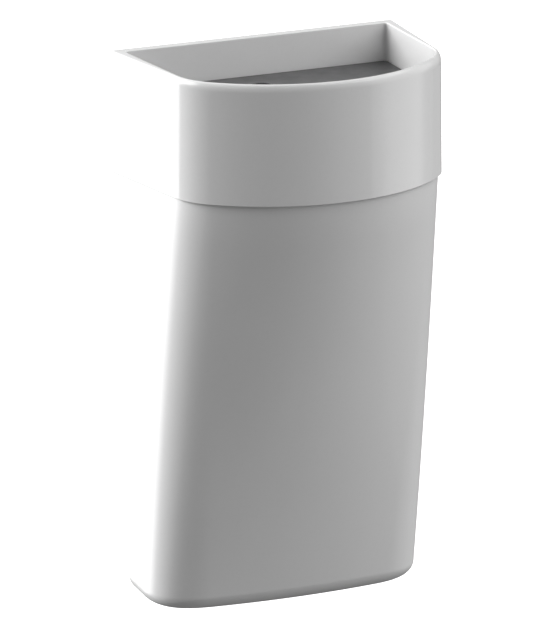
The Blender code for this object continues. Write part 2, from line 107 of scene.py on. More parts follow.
HOOK_X = 0.055
HOOK_WIDTH = 0.024
HOOK_HEIGHT = 0.400
HOOK_RISE = 0.014
HOOK_THICKNESS = 0.002
SLOT_WIDTH = 0.030
SLOT_DROP = 0.0205
RIVET_SHANK = 0.002
RIVET_HEAD = 0.0035
RIVET_HEAD_DEPTH = 0.0015
RING_HEIGHT = 0.528
RING_RADIUS = 0.0025
RING_AXIS_Y = -0.0132
RING_INSET = 0.012
CLIP_THICKNESS = 0.0015
GAP = 0.0003
THROUGH_BACK = (-0.012, 0.004)  # how far a cutter through the tub's back reaches, in y
THROUGH_LENGTH = 0.012
SCREW_HOLE_RADIUS = 0.00325
SCREW_HOLE_X = 0.092
SCREW_HOLE_Z = 0.034
WALL_PLATE_THICKNESS = 0.0025
WALL_PLATE_HEIGHT = 0.100
WALL_PLATE_CORNER = 0.008
HANGER_CORNER = 0.005
HOOK_BEND = 0.0022
PIN_BORE_LENGTH = 0.031


def level(height):
    """World z of a height above the tub's base."""
    return height - HANG_HEIGHT


# ---------------------------------------------------------------- plans and lofts
def rounding(start, corner, end, steps):
    """Points along a smooth turn from start to end, tangent to both lines through corner."""
    points = []
    for i in range(steps + 1):
        t = i / steps
        points.append(start * (1 - t) ** 2 + corner * 2 * t * (1 - t) + end * t ** 2)
    return points


# steps along each stretch of half a plan's outline
BACK_STEPS = 10
SIDE_STEPS = 6
CORNER_STEPS = 36
FRONT_STEPS = 40


def plan_outline(plan):
    """The closed outline of a plan, as 2D vectors from the middle of the back round by +X."""
    radius = (plan.corner_half ** 2 + plan.bow ** 2) / (2 * plan.bow)
    arc_centre = Vector((0.0, -plan.corner_y - plan.bow + radius))
    arc_end = asin(plan.corner_half / radius) - plan.front_run / radius
    back = Vector((plan.back_half, plan.back_y))
    side = (Vector((plan.corner_half, -plan.corner_y)) - back).normalized()

    front_end = arc_centre + Vector((sin(arc_end), -cos(arc_end))) * radius
    tangent = Vector((cos(arc_end), sin(arc_end)))
    reach = (back - front_end).cross(side) / tangent.cross(side)
    corner = front_end + tangent * reach

    half = [Vector((0.0, plan.back_y))]
    half += rounding(back - Vector((plan.back_run, 0.0)), back, back + side * plan.back_run, BACK_STEPS)
    side_start = half[-1]
    side_end = corner - side * reach
    half += [side_start.lerp(side_end, i / SIDE_STEPS) for i in range(1, SIDE_STEPS)]
    half += rounding(side_end, corner, front_end, CORNER_STEPS)
    half += [arc_centre + Vector((sin(arc_end * t), -cos(arc_end * t))) * radius
             for t in (1 - i / FRONT_STEPS for i in range(1, FRONT_STEPS + 1))]
    mirrored = [Vector((-point.x, point.y)) for point in reversed(half[1:-1])]
    return half + mirrored


def inset(plan, distance, back_y=None):
    """The same plan moved inwards by distance; the back goes to back_y, or inwards too."""
    return plan._replace(
        back_y=plan.back_y - distance if back_y is None else back_y,
        back_half=plan.back_half - distance,
        corner_half=plan.corner_half - distance,
        corner_y=plan.corner_y - distance,
        front_run=plan.front_run - distance * 0.6,
        back_run=max(plan.back_run - distance * 0.5, 0.003),
    )


def blend(low, high, t):
    return Plan(*(a + (b - a) * t for a, b in zip(low, high)))


def quarter(steps, start=0):
    """Angles from 0 to a quarter turn."""
    return [pi / 2 * i / steps for i in range(start, steps + 1)]


def loft(rings, joined_ends=False):
    """A closed skin through rings of (outline points, height); open ends get flat caps."""
    shape = bmesh.new()
    rows = [[shape.verts.new((p.x, p.y, level(height))) for p in points] for points, height in rings]
    pairs = list(zip(rows, rows[1:]))
    if joined_ends:
        pairs.append((rows[-1], rows[0]))
    else:
        shape.faces.new(rows[0])
        shape.faces.new(rows[-1])
    count = len(rows[0])
    for low, high in pairs:
        for i in range(count):
            shape.faces.new((low[i], low[(i + 1) % count], high[(i + 1) % count], high[i]))
    return shape


def revolve(profile, steps=48):
    """A closed profile of (radius, height) that starts and ends on the Z axis, turned about it."""
    shape = bmesh.new()
    rows = []
    for radius, height in profile:
        if radius < 1e-9:
            rows.append([shape.verts.new((0.0, 0.0, height))])
        else:
            angles = (2 * pi * i / steps for i in range(steps))
            rows.append([shape.verts.new((radius * cos(a), radius * sin(a), height)) for a in angles])
    for low, high in zip(rows, rows[1:]):
        for i in range(steps):
            j = (i + 1) % steps
            corners = [low[i % len(low)], low[j % len(low)], high[j % len(high)], high[i % len(high)]]
            shape.faces.new(list(dict.fromkeys(corners)))
    return shape


def strap(profile, x, width, edge=0.0003):
    """A flat strip bent to a (y, z) profile, width wide about x, with its sharp long edges broken."""
    shape = bmesh.new()
    rows = [[shape.verts.new((x + side * width / 2, y, z)) for y, z in profile] for side in (-1, 1)]
    caps = [shape.faces.new(row) for row in rows]
    count = len(profile)
    for i in range(count):
        j = (i + 1) % count
        shape.faces.new((rows[0][i], rows[0][j], rows[1][j], rows[1][i]))
    bmesh.ops.recalc_face_normals(shape, faces=shape.faces)
    edges = list({e for cap in caps for e in cap.edges})
    bmesh.ops.bevel(shape, geom=edges, offset=edge, segments=2, profile=0.5, affect="EDGES")
    return shape


def slab(outline, back_y, thickness, edge):
    """A plate in the XZ plane from an (x, z) outline, with both faces' edges broken."""
    shape = bmesh.new()
    middle = Vector((sum(x for x, _ in outline), sum(z for _, z in outline))) / len(outline)
    rows = []
    for drop, shrink in ((0.0, edge), (edge, 0.0), (thickness - edge, 0.0), (thickness, edge)):
        row = []
        for x, z in outline:
            inward = middle - Vector((x, z))
            towards = Vector((max(-1, min(1, inward.x / edge)), max(-1, min(1, inward.y / edge))))
            step = Vector((x, z)) + towards * shrink
            row.append(shape.verts.new((step.x, back_y - drop, step.y)))
        rows.append(row)
    shape.faces.new(rows[0])
    shape.faces.new(rows[-1])
    count = len(outline)
    for low, high in zip(rows, rows[1:]):
        for i in range(count):
            j = (i + 1) % count
            shape.faces.new((low[i], low[j], high[j], high[i]))
    return shape


def rounded_rectangle(x, z, width, height, radius, steps=8):
    """(x, z) points of a rectangle with round corners, about a centre."""
    points = []
    for turn, (side, up) in enumerate(((1, 1), (-1, 1), (-1, -1), (1, -1))):
        centre_x = x + side * (width / 2 - radius)
        centre_z = z + up * (height / 2 - radius)
        for i in range(steps + 1):
            angle = pi / 2 * (turn + i / steps)
            points.append((centre_x + radius * cos(angle), centre_z + radius * sin(angle)))
    return points


# ---------------------------------------------------------------- pieces
def mesh_object(name, shape):
    bmesh.ops.recalc_face_normals(shape, faces=shape.faces)
    mesh = bpy.data.meshes.new(name)
    shape.to_mesh(mesh)
    shape.free()
    made = bpy.data.objects.new(name, mesh)
    bpy.context.scene.collection.objects.link(made)
    return made


def joined(shapes):
    """Several separate shells as one shape."""
    whole = bmesh.new()
    for shape in shapes:
        mesh = bpy.data.meshes.new("part")
        bmesh.ops.recalc_face_normals(shape, faces=shape.faces)
        shape.to_mesh(mesh)
        shape.free()
        whole.from_mesh(mesh)
        bpy.data.meshes.remove(mesh)
    return whole


def moved(shape, matrix):
    bmesh.ops.transform(shape, matrix=matrix, verts=shape.verts)
    return shape


def carve(piece, shapes, operation="DIFFERENCE"):
    """Cuts shapes out of a piece, or joins them to it, and keeps only the result."""
    tool = mesh_object("tool", joined(shapes))
    modifier = piece.modifiers.new("tool", "BOOLEAN")
    modifier.object = tool
    modifier.operation = operation
    modifier.solver = "EXACT"
    graph = bpy.context.evaluated_depsgraph_get()
    mesh = bpy.data.meshes.new_from_object(piece.evaluated_get(graph))
    piece.modifiers.clear()
    old = piece.data
    piece.data = mesh
    bpy.data.meshes.remove(old)
    bpy.data.objects.remove(tool, do_unlink=True)


def show(piece, body, nodes, material, sharp=32.0):
    """Gives a finished mesh its shading, material and body, and lets it stand for its CAD nodes."""
    mesh = piece.data
    mesh.materials.clear()
    mesh.materials.append(material)
    mesh.shade_smooth()
    mesh.set_sharp_from_angle(angle=radians(sharp))
    weighted = piece.modifiers.new("flat_faces_first", "WEIGHTED_NORMAL")
    weighted.mode = "FACE_AREA"
    weighted.keep_sharp = True
    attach(piece, body)
    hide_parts(*nodes)


def along_x(x, y, z):
    """Stands a shape that was turned about Z along X, at a point."""
    return Matrix.Translation((x, y, z)) @ Matrix.Rotation(pi / 2, 4, "Y")


def into_back(x, z, y=TUB_BASE.back_y):
    """Turns a shape's own -Z into -Y, so a rivet or hole goes in through the back."""
    return Matrix.Translation((x, y, z)) @ Matrix.Rotation(-pi / 2, 4, "X")


def plug(radius, length, flare=0.0):
    """A round cutter centred on its origin, widening beyond flare on both sides to break a hole's edges."""
    half = length / 2
    if not flare:
        return revolve([(0.0, -half), (radius, -half), (radius, half), (0.0, half)])
    return revolve([(0.0, -half), (radius + half, -half), (radius, -flare), (radius, flare),
                    (radius + half, half), (0.0, half)])


def box_shape(low, high):
    shape = bmesh.new()
    bmesh.ops.create_cube(shape, size=1.0)
    low, high = Vector(low), Vector(high)
    for vertex in shape.verts:
        vertex.co = Vector((low[i] + (vertex.co[i] + 0.5) * (high[i] - low[i]) for i in range(3)))
    return shape


# ---------------------------------------------------------------- materials
class Surface:
    """A Principled material whose detail comes from textures in the piece's own coordinates."""

    def __init__(self, name, colour, roughness, metallic=0.0):
        self.material = bpy.data.materials.new(name)
        self.material.use_nodes = True
        self.tree = self.material.node_tree
        self.shader = self.tree.nodes["Principled BSDF"]
        self.shader.inputs["Base Color"].default_value = (*colour, 1.0)
        self.shader.inputs["Roughness"].default_value = roughness
        self.shader.inputs["Metallic"].default_value = metallic
        self.place = self.tree.nodes.new("ShaderNodeTexCoord").outputs["Object"]
        self.height = None

    def node(self, kind, **settings):
        made = self.tree.nodes.new(kind)
        for name, value in settings.items():
            setattr(made, name, value)
        return made

    def link(self, source, target):
        self.tree.links.new(source, target)

    def stretched(self, scale, turn=(0.0, 0.0, 0.0)):
        """The piece's coordinates, turned and then scaled along each axis."""
        turned = self.node("ShaderNodeMapping")
        turned.inputs["Rotation"].default_value = turn
        self.link(self.place, turned.inputs["Vector"])
        scaled = self.node("ShaderNodeMapping")
        scaled.inputs["Scale"].default_value = scale
        self.link(turned.outputs["Vector"], scaled.inputs["Vector"])
        return scaled.outputs["Vector"]

    def noise(self, scale, detail=2.0, rough=0.5, place=None):
        """Noise from 0 to 1 with scale cells to the metre."""
        made = self.node("ShaderNodeTexNoise")
        made.inputs["Scale"].default_value = scale
        made.inputs["Detail"].default_value = detail
        made.inputs["Roughness"].default_value = rough
        self.link(place or self.place, made.inputs["Vector"])
        return made.outputs["Fac"]

    def ranged(self, value, low, high, to_low, to_high, smooth=False):
        made = self.node("ShaderNodeMapRange", interpolation_type="SMOOTHSTEP" if smooth else "LINEAR")
        for name, number in zip(("From Min", "From Max", "To Min", "To Max"), (low, high, to_low, to_high)):
            made.inputs[name].default_value = number
        self.link(value, made.inputs["Value"])
        return made.outputs["Result"]

    def math(self, operation, a, b):
        made = self.node("ShaderNodeMath", operation=operation)
        for socket, value in zip(made.inputs, (a, b)):
            if isinstance(value, (int, float)):
                socket.default_value = value
            else:
                self.link(value, socket)
        return made.outputs[0]

    def mix(self, factor, a, b):
        """Colour a where factor is 0 and b where it is 1."""
        made = self.node("ShaderNodeMix", data_type="RGBA")
        self.link(factor, made.inputs["Factor"])
        for socket, value in zip((made.inputs[6], made.inputs[7]), (a, b)):
            if isinstance(value, tuple):
                socket.default_value = (*value, 1.0)
            else:
                self.link(value, socket)
        return made.outputs[2]

    def raise_by(self, value, distance):
        """Adds relief: value from 0 to 1 stands distance metres high."""
        bump = self.node("ShaderNodeBump")
        bump.inputs["Strength"].default_value = 1.0
        bump.inputs["Distance"].default_value = distance
        self.link(value, bump.inputs["Height"])
        if self.height is not None:
            self.link(self.height, bump.inputs["Normal"])
        self.height = bump.outputs["Normal"]

    def set(self, name, value):
        self.link(value, self.shader.inputs[name])

    def scratches(self, amount, across=(620.0, 620.0, 34.0)):
        """0 to 1: faint long scuffs in three directions, gathered in patches."""
        total = None
        for turn in ((0.1, 0.15, 0.0), (0.2, -0.5, 0.4), (-0.3, 0.95, -0.2)):
            lines = self.noise(1.0, 1.0, place=self.stretched(across, turn))
            lines = self.ranged(lines, 0.68 - 0.04 * amount, 0.84, 0.0, 1.0, True)
            total = lines if total is None else self.math("MAXIMUM", total, lines)
        patches = self.ranged(self.noise(14.0, 2.0), 0.50, 0.72, 0.0, 1.0, True)
        return self.math("MULTIPLY", total, patches)

    def edges(self, low=0.53, high=0.60):
        """0 to 1: how sharply the surface turns outwards."""
        geometry = self.node("ShaderNodeNewGeometry")
        return self.ranged(geometry.outputs["Pointiness"], low, high, 0.0, 1.0, True)

    def done(self):
        if self.height is not None:
            self.link(self.height, self.shader.inputs["Normal"])
        return self.material


def plastic(name, colour, roughness, peel=0.000016, grain=0.000005, scuffs=0.5, tint=0.985):
    """Moulded plastic: faint orange peel, a fine grain, soft patches in gloss and colour, light scuffs."""
    surface = Surface(name, colour, roughness)
    clouds = surface.noise(9.0, 4.0)
    darker = tuple(channel * tint for channel in colour)
    base = surface.mix(surface.ranged(clouds, 0.35, 0.65, 0.0, 1.0), darker, colour)
    mottle = surface.ranged(surface.noise(260.0, 3.0, 0.6), 0.45, 0.75, 0.0, 0.14, True)
    base = surface.mix(mottle, base, tuple(channel * 0.90 for channel in colour))
    surface.set("Base Color", base)

    scuff = surface.scratches(scuffs)
    # the tub showed hard-edged blotches where this fell below about 0.27, so its base is kept well above
    gloss = surface.ranged(surface.noise(45.0, 3.0), 0.0, 1.0, roughness * 0.80, roughness * 1.20)
    worn = surface.math("MULTIPLY", surface.edges(), 0.10)
    gloss = surface.math("ADD", gloss, worn)
    gloss = surface.math("ADD", gloss, surface.math("MULTIPLY", scuff, 0.06 * scuffs))
    surface.set("Roughness", gloss)

    surface.raise_by(surface.noise(190.0, 2.0), peel)
    surface.raise_by(surface.noise(2300.0, 2.0, 0.6), grain)
    surface.raise_by(scuff, -0.0000015)
    return surface.done()


def flap_plastic(name):
    """Dark satin plastic with a fine spark-eroded texture, polished by fingers round its hole."""
    colour = (0.100, 0.100, 0.102)
    surface = Surface(name, colour, 0.42)
    clouds = surface.ranged(surface.noise(14.0, 4.0), 0.35, 0.65, 0.0, 1.0)
    base = surface.mix(clouds, (0.090, 0.090, 0.092), colour)
    dust = surface.ranged(surface.noise(420.0, 5.0, 0.7), 0.60, 0.74, 0.0, 0.10)
    base = surface.mix(dust, base, (0.34, 0.34, 0.33))
    surface.set("Base Color", base)

    centre = surface.node("ShaderNodeVectorMath", operation="DISTANCE")
    surface.link(surface.place, centre.inputs[0])
    centre.inputs[1].default_value = (FLAP_HOLE_CENTRE.x, FLAP_HOLE_CENTRE.y, level(FLAP_TOP))
    touched = surface.ranged(centre.outputs["Value"], FLAP_HOLE_RADIUS, 0.030, 1.0, 0.0, True)
    gloss = surface.ranged(surface.noise(60.0, 3.0), 0.3, 0.7, 0.38, 0.48)
    gloss = surface.math("SUBTRACT", gloss, surface.math("MULTIPLY", touched, 0.12))
    scuff = surface.scratches(0.8, (34.0, 620.0, 620.0))
    gloss = surface.math("ADD", gloss, surface.math("MULTIPLY", scuff, 0.12))
    surface.set("Roughness", gloss)

    surface.raise_by(surface.noise(1500.0, 3.0, 0.6), 0.000022)
    surface.raise_by(surface.noise(160.0, 2.0), 0.00002)
    surface.raise_by(scuff, -0.000005)
    return surface.done()


def metal(name, colour, roughness, brush, spangle=0.0):
    """Bare or plated sheet: brushed along brush, cloudy, brighter where its edges are rubbed."""
    surface = Surface(name, colour, roughness, metallic=1.0)
    lines = surface.noise(1.0, 4.0, 0.65, surface.stretched(brush))
    clouds = surface.noise(30.0, 4.0, 0.6)
    darker = tuple(channel * 0.82 for channel in colour)
    base = surface.mix(surface.ranged(clouds, 0.3, 0.7, 0.0, 1.0), darker, colour)
    if spangle:
        crystals = surface.node("ShaderNodeTexVoronoi")
        crystals.inputs["Scale"].default_value = 160.0
        surface.link(surface.place, crystals.inputs["Vector"])
        grey = surface.node("ShaderNodeRGBToBW")
        surface.link(crystals.outputs["Color"], grey.inputs["Color"])
        shade = surface.math("MULTIPLY", grey.outputs["Val"], spangle)
        base = surface.mix(shade, base, tuple(channel * 0.7 for channel in colour))
    rubbed = surface.edges(0.52, 0.58)
    base = surface.mix(surface.math("MULTIPLY", rubbed, 0.6), base, (0.80, 0.80, 0.79))
    surface.set("Base Color", base)
    gloss = surface.ranged(lines, 0.3, 0.7, roughness * 0.75, roughness * 1.3)
    gloss = surface.math("ADD", gloss, surface.ranged(clouds, 0.4, 0.7, 0.0, 0.08))
    surface.set("Roughness", gloss)
    surface.raise_by(lines, 0.000010)
    surface.raise_by(surface.noise(260.0, 3.0), 0.000012)
    return surface.done()


def rubber(name):
    colour = (0.030, 0.030, 0.031)
    surface = Surface(name, colour, 0.78)
    dust = surface.ranged(surface.noise(500.0, 4.0, 0.7), 0.50, 0.75, 0.0, 0.35)
    surface.set("Base Color", surface.mix(dust, colour, (0.16, 0.16, 0.155)))
    surface.set("Roughness", surface.ranged(surface.noise(900.0, 2.0), 0.3, 0.7, 0.68, 0.88))
    surface.raise_by(surface.noise(2600.0, 3.0, 0.6), 0.00002)
    return surface.done()


WHITE_GLOSS = plastic("collar_white_gloss", (0.80, 0.80, 0.80), 0.17, scuffs=0.45)
WHITE_SATIN = plastic("tub_white_satin", (0.78, 0.78, 0.78), 0.325, peel=0.00002, grain=0.000007, scuffs=0.5)
DARK_GREY = flap_plastic("flap_dark_grey")
ZINC = metal("zinc_plate", (0.40, 0.41, 0.43), 0.38, (40.0, 40.0, 1400.0), spangle=0.35)
STAINLESS = metal("stainless_satin", (0.50, 0.50, 0.495), 0.27, (60.0, 2200.0, 2200.0))
NYLON = plastic("nylon_natural", (0.66, 0.65, 0.60), 0.50, grain=0.00002, scuffs=0.3, tint=0.93)
RUBBER = rubber("black_rubber")


# ---------------------------------------------------------------- tub
def tub_plan(height):
    if height <= SHOULDER_HEIGHT:
        return blend(TUB_BASE, TUB_SHOULDER, height / SHOULDER_HEIGHT)
    return blend(TUB_SHOULDER, TUB_NECK, (height - SHOULDER_HEIGHT) / (TUB_HEIGHT - SHOULDER_HEIGHT))


TUB_RING_HEIGHTS = (0.06, 0.12, 0.18, 0.24, 0.30, 0.36, 0.42, SHOULDER_HEIGHT, 0.505)


def rivet_hole(node):
    """The countersunk way of one rivet through the back."""
    low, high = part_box(node)
    spread = 0.001
    radius = RIVET_SHANK + GAP
    profile = [(0.0, spread), (RIVET_HEAD + GAP + spread, spread), (radius, -RIVET_HEAD_DEPTH),
               (radius, THROUGH_BACK[0]), (0.0, THROUGH_BACK[0])]
    return moved(revolve(profile, 32), into_back((low.x + high.x) / 2, (low.z + high.z) / 2))


HANGER_RIVETS = [f"hanger_rivet_{n}" for n in range(1, 5)]
CLIP_RIVETS = [f"ring_clip_{side}_rivet_{n}" for side in ("left", "right") for n in (1, 2)]


def slot_cutters(front_y, back_y):
    """The hooks' two ways through the tub's back, with round lower corners."""
    top = level(HOOK_HEIGHT) + GAP
    height = SLOT_DROP + GAP
    cutters = []
    for side in (-1, 1):
        outline = rounded_rectangle(side * HOOK_X, top - height / 2, SLOT_WIDTH, height, 0.0015)
        cutters.append(slab(outline, back_y, back_y - front_y, 0.0001))
    return cutters


def tub():
    rings = []
    for angle in quarter(12):
        height = TUB_BASE_ROUND * (1 - cos(angle))
        rings.append((inset(tub_plan(height), TUB_BASE_ROUND * (1 - sin(angle))), height))
    rings += [(tub_plan(height), height) for height in TUB_RING_HEIGHTS]
    lip = TUB_LIP_ROUND
    for angle in quarter(5):
        distance = lip * (1 - cos(angle))
        rings.append((inset(tub_plan(TUB_HEIGHT), distance), TUB_HEIGHT - lip * (1 - sin(angle))))
    for angle in reversed(quarter(5)):
        distance = TUB_WALL - lip * (1 - cos(angle))
        rings.append((inset(tub_plan(TUB_HEIGHT), distance), TUB_HEIGHT - lip * (1 - sin(angle))))
    rings += [(inset(tub_plan(height), TUB_WALL), height) for height in reversed(TUB_RING_HEIGHTS)]
    inner_round = TUB_BASE_ROUND - TUB_WALL
    for angle in reversed(quarter(10)):
        height = TUB_WALL + inner_round * (1 - cos(angle))
        rings.append((inset(tub_plan(height), TUB_WALL + inner_round * (1 - sin(angle))), height))
    shell = mesh_object("tub_shell", loft([(plan_outline(plan), height) for plan, height in rings]))

    drains = [moved(plug(DRAIN_RADIUS, THROUGH_LENGTH, TUB_WALL / 2 - 0.0004),
                    Matrix.Translation((x, y, level(TUB_WALL / 2))))
              for x in (-DRAIN_X, DRAIN_X) for y in DRAIN_Y]
    carve(shell, drains)
    carve(shell, slot_cutters(*THROUGH_BACK))
    carve(shell, [rivet_hole(node) for node in HANGER_RIVETS + CLIP_RIVETS])
    show(shell, "bin", ["body_shell"], WHITE_SATIN)


def rivet(node):
    """A flush rivet: flat head outside, domed head inside."""
    low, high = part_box(node)
    dome_radius, dome_height, edge = 0.0040, 0.0016, 0.0002
    grip = high.y - low.y - (dome_height + edge)
    profile = [(0.0, 0.0), (RIVET_HEAD - edge, 0.0), (RIVET_HEAD, -edge), (RIVET_SHANK, -RIVET_HEAD_DEPTH),
               (RIVET_SHANK, -grip)]
    profile += [(dome_radius, -grip), (dome_radius, -grip - edge)]
    profile += [(dome_radius * cos(angle), -grip - edge - dome_height * sin(angle))
                for angle in quarter(8, 1)]
    profile[-1] = (0.0, profile[-1][1])
    place = into_back((low.x + high.x) / 2, (low.z + high.z) / 2, high.y)
    piece = mesh_object(node + "_fine", moved(revolve(profile, 40), place))
    show(piece, "bin", [node], STAINLESS)


def hanger_plate():
    low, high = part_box("hanger_plate")
    size = high - low
    outline = rounded_rectangle(0.0, (low.z + high.z) / 2, size.x, size.z, HANGER_CORNER)
    plate = mesh_object("hanger_plate_fine", slab(outline, high.y, size.y, 0.0003))
    carve(plate, slot_cutters(*THROUGH_BACK))
    carve(plate, [rivet_hole(node) for node in HANGER_RIVETS])
    show(plate, "bin", ["hanger_plate"], ZINC)


# ---------------------------------------------------------------- wall plate
def bent_strip(points, thickness, bends):
    """The (y, z) profile of a strip whose middle line is points, with round bends."""
    line = [Vector(points[0])]
    for before, corner, after in zip(points, points[1:], points[2:]):
        before, corner, after = Vector(before), Vector(corner), Vector(after)
        start = corner + (before - corner).normalized() * bends
        end = corner + (after - corner).normalized() * bends
        line += rounding(start, corner, end, 8)
    line.append(Vector(points[-1]))
    left, right = [], []
    for i, point in enumerate(line):
        along = (line[min(i + 1, len(line) - 1)] - line[max(i - 1, 0)]).normalized()
        across = Vector((-along.y, along.x)) * thickness / 2
        left.append(point + across)
        right.append(point - across)
    return [tuple(p) for p in left + right[::-1]]


def wall_plate():
    low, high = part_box("wall_plate")
    thickness = WALL_PLATE_THICKNESS
    outline = rounded_rectangle(0.0, 0.0, high.x - low.x, WALL_PLATE_HEIGHT, WALL_PLATE_CORNER)
    plate = mesh_object("wall_plate_fine", slab(outline, high.y, thickness, 0.0004))
    shelf = level(HOOK_HEIGHT) - HOOK_THICKNESS / 2
    upright = low.y + HOOK_THICKNESS / 2
    hook_tip = level(HOOK_HEIGHT) + HOOK_RISE
    profile = bent_strip([(-thickness / 2, shelf), (upright, shelf), (upright, hook_tip)],
                         HOOK_THICKNESS, HOOK_BEND)
    carve(plate, [strap(profile, side * HOOK_X, HOOK_WIDTH) for side in (-1, 1)], "UNION")
    hole_flare = thickness / 2 - 0.0003
    holes = [moved(plug(SCREW_HOLE_RADIUS, THROUGH_LENGTH, hole_flare), into_back(x, z, -thickness / 2))
             for x in (-SCREW_HOLE_X, SCREW_HOLE_X) for z in (-SCREW_HOLE_Z, SCREW_HOLE_Z)]
    carve(plate, holes)
    show(plate, "wall_bracket", ["wall_plate"], ZINC)


# ---------------------------------------------------------------- bag ring and its clips
def bag_ring():
    outline = plan_outline(inset(tub_plan(RING_HEIGHT), RING_INSET, RING_AXIS_Y))
    shape = bmesh.new()
    count = len(outline)
    rows = []
    for i, point in enumerate(outline):
        along = (outline[(i + 1) % count] - outline[i - 1]).normalized()
        across = Vector((-along.y, along.x, 0.0))
        centre = Vector((point.x, point.y, level(RING_HEIGHT)))
        rows.append([shape.verts.new(centre + (across * cos(a) + Vector((0, 0, 1)) * sin(a)) * RING_RADIUS)
                     for a in (2 * pi * k / 16 for k in range(16))])
    for i in range(count):
        for k in range(16):
            shape.faces.new((rows[i - 1][k - 1], rows[i - 1][k], rows[i][k], rows[i][k - 1]))
    show(mesh_object("bag_ring_fine", shape), "bag_hoop", ["bag_ring"], STAINLESS, 60.0)


def ring_clip(node):
    low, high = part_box(node)
    flat = high.y
    inner = RING_RADIUS + GAP
    outer = inner + CLIP_THICKNESS
    reach = (high.z - low.z) / 2
    middle = (high.z + low.z) / 2
    fillet = 0.0010
    arc = [pi * i / 20 for i in range(21)]
    front = flat - CLIP_THICKNESS
    outline = [(flat, middle + reach), (front, middle + reach), (front, middle + outer + fillet)]
    outline += [(RING_AXIS_Y - outer * sin(a), middle + outer * cos(a)) for a in arc[1:-1]]
    outline += [(front, middle - outer - fillet), (front, middle - reach), (flat, middle - reach),
                (flat, middle - inner)]
    outline += [(RING_AXIS_Y - inner * sin(a), middle - inner * cos(a)) for a in arc[1:-1]]
    outline += [(flat, middle + inner)]
    centre = (low.x + high.x) / 2
    clip = mesh_object(node + "_fine", strap(outline, centre, high.x - low.x, 0.00025))
    carve(clip, [rivet_hole(name) for name in CLIP_RIVETS if name.startswith(node)])
    show(clip, "bin", [node], STAINLESS)


# ---------------------------------------------------------------- collar
def collar_taper(height):
    return COLLAR_TAPER * (height - COLLAR_BOTTOM) / (RIM_START - COLLAR_BOTTOM)


def mouth_plan(extra=0.0, back_y=MOUTH_BACK):
    """The mouth moved inwards by extra; its sides run closer to parallel than the collar's own."""
    plan = inset(COLLAR_FOOT, COLLAR_TAPER + RIM_WIDTH + extra, back_y)
    return plan._replace(back_half=MOUTH_BACK_HALF - extra, back_run=MOUTH_BACK_RUN)


FLAT_NORMAL = Vector((sin(CORNER_FLAT_TURN), -cos(CORNER_FLAT_TURN)))


def with_corner_flat(points, height):
    """The outline with its right front corner cut off straight, as far as the shallow flat takes it."""
    proud = [(p - CORNER_FLAT_MIDDLE).dot(FLAT_NORMAL) + collar_taper(height) for p in points]
    clipped = [p - FLAT_NORMAL * max(d, 0.0) for p, d in zip(points, proud)]
    count = len(points)
    for i in range(count):
        for j, k in ((i, (i + 1) % count), ((i + 1) % count, i)):
            if proud[j] <= 0.0 < proud[k]:
                t = -proud[j] / (proud[k] - proud[j])
                clipped[k] = points[j].lerp(points[k], t)
    return clipped


def collar_outlines():
    """(outline, height) from the foot's outer edge up, over the rim, down the mouth and back to the foot."""
    back = COLLAR_FOOT.back_y
    edge = 0.0007
    rings = []
    for angle in quarter(4):
        distance = edge * (1 - sin(angle))
        plan = inset(COLLAR_FOOT, distance, back - distance / 2)
        rings.append((plan, COLLAR_BOTTOM + edge * (1 - cos(angle))))
    for height in (0.49, 0.51, 0.53, 0.55, 0.57, CORNER_FLAT_TOP):
        rings.append((inset(COLLAR_FOOT, collar_taper(height), back), height))
    outside = [(with_corner_flat(plan_outline(plan), height), height) for plan, height in rings]

    rings = [(inset(COLLAR_FOOT, collar_taper(CORNER_FLAT_TOP), back), CORNER_FLAT_TOP + 0.0001)]
    roll = RIM_WIDTH - RIM_INNER_ROUND
    for angle in quarter(16)[:-1]:
        distance = COLLAR_TAPER + roll * (1 - cos(angle))
        plan = inset(COLLAR_FOOT, distance, back - RIM_BACK_ROLL * (1 - cos(angle)))
        rings.append((plan, RIM_START + (HEIGHT - RIM_START) * sin(angle)))
    for angle in quarter(6):
        outward = RIM_INNER_ROUND * (1 - sin(angle))
        rings.append((mouth_plan(-outward, MOUTH_BACK + outward),
                      HEIGHT - RIM_INNER_ROUND * (1 - cos(angle))))
    fillet = 0.0008
    rings += [(mouth_plan(), height) for height in (0.585, 0.570)]
    for angle in quarter(4):
        rings.append((mouth_plan(fillet * (1 - cos(angle)), MOUTH_BACK - fillet * (1 - cos(angle)) * 0.5),
                      LEDGE_TOP + fillet * (1 - sin(angle))))
    for angle in quarter(3):
        rings.append((mouth_plan(LEDGE_WIDTH - fillet * (1 - sin(angle)),
                                 LEDGE_BACK + 0.0002 * (1 - sin(angle))),
                      LEDGE_TOP - fillet * (1 - cos(angle))))
    rings.append((mouth_plan(LEDGE_WIDTH, LEDGE_BACK), LEDGE_BOTTOM))
    skirt_top = collar_taper(LEDGE_BOTTOM) + COLLAR_SKIN
    rings.append((inset(COLLAR_FOOT, skirt_top, COLLAR_BACK_INSIDE), LEDGE_BOTTOM))
    rings.append((inset(COLLAR_FOOT, COLLAR_SKIN, COLLAR_BACK_INSIDE), COLLAR_BOTTOM))
    return outside + [(plan_outline(plan), height) for plan, height in rings]


def collar():
    shell = mesh_object("collar_shell_fine", loft(collar_outlines(), joined_ends=True))
    web = 0.003
    channel = box_shape((-0.150, MOUTH_BACK + web, level(0.5450)),
                        (0.150, COLLAR_BACK_INSIDE, level(HEIGHT - web)))
    carve(shell, [channel])
    seats = []
    for side in (-1, 1):
        middle = side * (BUSH_SEAT_START + BUSH_SEAT_END) / 2
        seats.append(moved(plug(BUSH_RADIUS, BUSH_SEAT_END - BUSH_SEAT_START),
                           along_x(middle, FLAP_AXIS_Y, level(FLAP_AXIS_HEIGHT))))
    carve(shell, seats)
    show(shell, "collar", ["collar_shell"], WHITE_GLOSS, 28.0)


